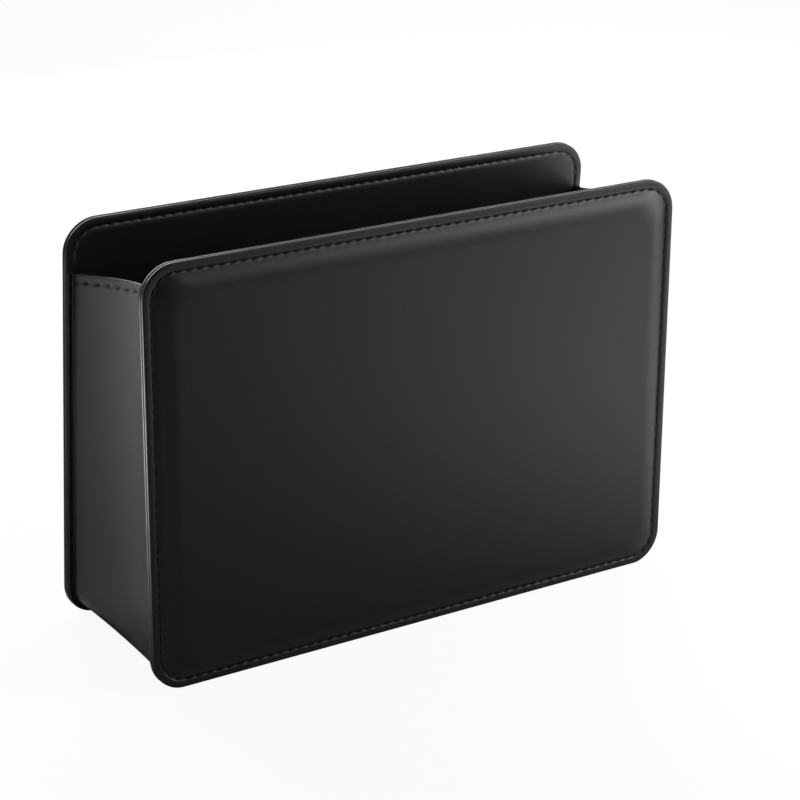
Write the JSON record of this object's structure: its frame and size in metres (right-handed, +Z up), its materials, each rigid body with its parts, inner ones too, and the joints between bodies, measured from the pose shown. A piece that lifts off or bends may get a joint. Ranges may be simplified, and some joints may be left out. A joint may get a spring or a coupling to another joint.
{
  "type": "car trash bin",
  "caption": "Open-topped car trash bin of black leather cloth: padded front and back panels with stitched rims, sewn to a soft strip that forms the sides and base.",
  "frame": {"origin": "on the floor, under the middle of the bin's outer box", "axes": "+X across the bin's width, -Y the front panel's side, +Z up out of the mouth"},
  "size_m": [0.245, 0.083, 0.1694],
  "materials": {
    "cover_leather": "fine smooth grain, satin",
    "gusset_leather": "fine smooth grain, satin",
    "lining_leather": "fine grain, matt",
    "foam": "open-cell foam, matt",
    "board": "grey fibre board, matt",
    "thread": "twisted sewing thread"
  },
  "bodies": {
    "root": {"front_cover": "cover_leather", "front_pad": "foam", "front_board": "board", "front_lining": "lining_leather", "back_cover": "cover_leather", "back_pad": "foam", "back_board": "board", "back_lining": "lining_leather", "gusset": "gusset_leather", "gusset_lining": "lining_leather", "base_board": "board"}
  },
  "joints": []
}
